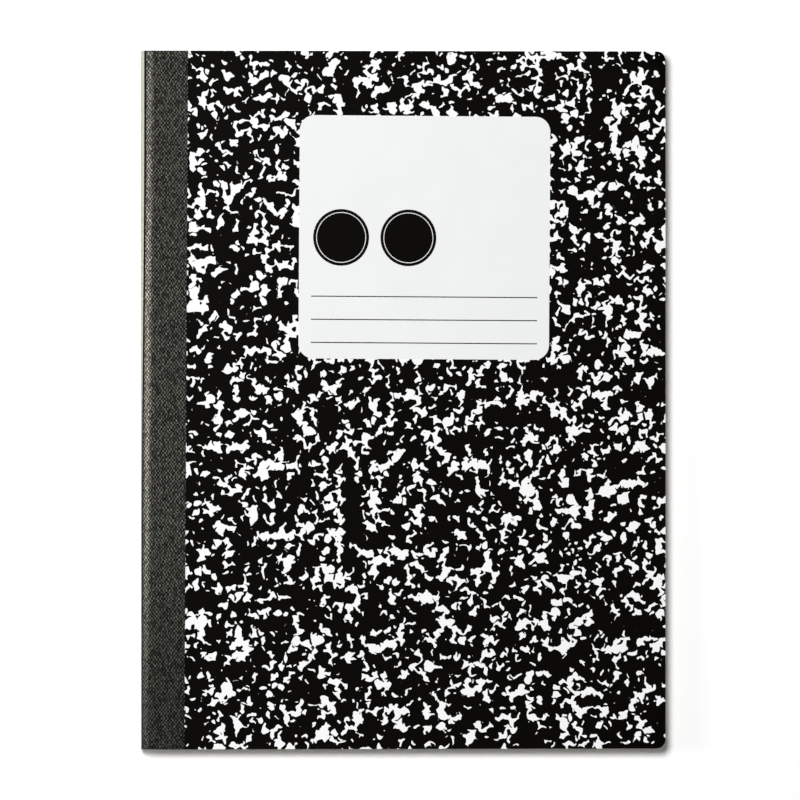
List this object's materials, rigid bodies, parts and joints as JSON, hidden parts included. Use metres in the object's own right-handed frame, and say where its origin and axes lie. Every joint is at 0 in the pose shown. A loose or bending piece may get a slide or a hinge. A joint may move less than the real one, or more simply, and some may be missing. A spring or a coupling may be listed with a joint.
{
  "type": "composition notebook",
  "caption": "Sewn composition notebook with marbled board covers, a cloth tape over the round spine, a blank label and rounded fore-edge corners; both covers open",
  "frame": {"origin": "under the middle of the closed notebook, on the plane that its back cover lies on", "axes": "+X from the spine to the fore-edge, +Y from the tail to the head of the page, +Z out of the front cover"},
  "size_m": [0.188, 0.2476, 0.0086],
  "materials": {
    "writing_paper": "matte",
    "sewing_thread": "matte",
    "printed_board": "satin",
    "cloth_tape": "matte",
    "white_print": "satin",
    "black_print": "satin"
  },
  "bodies": {
    "back": {"back_cover": "printed_board", "spine_tape_back": "cloth_tape", "back_marbling": "white_print"},
    "pages": {"page_block": "writing_paper", "sewing_thread": "sewing_thread", "cover_spine": "printed_board", "spine_tape_fold": "cloth_tape"},
    "front": {"front_cover": "printed_board", "spine_tape_front": "cloth_tape", "front_label": "white_print", "label_lines": "black_print", "label_discs": "black_print", "front_marbling": "white_print"}
  },
  "joints": [
    {"name": "back_cover_hinge", "type": "hinge", "parent": "back", "child": "pages", "pos_m": [-0.094, 0, 0.0043], "axis": [0, -1, 0], "range_deg": [0, 180]},
    {"name": "front_cover_hinge", "type": "hinge", "parent": "pages", "child": "front", "pos_m": [-0.0897, 0, 0.0086], "axis": [0, -1, 0], "range_deg": [0, 180]}
  ]
}
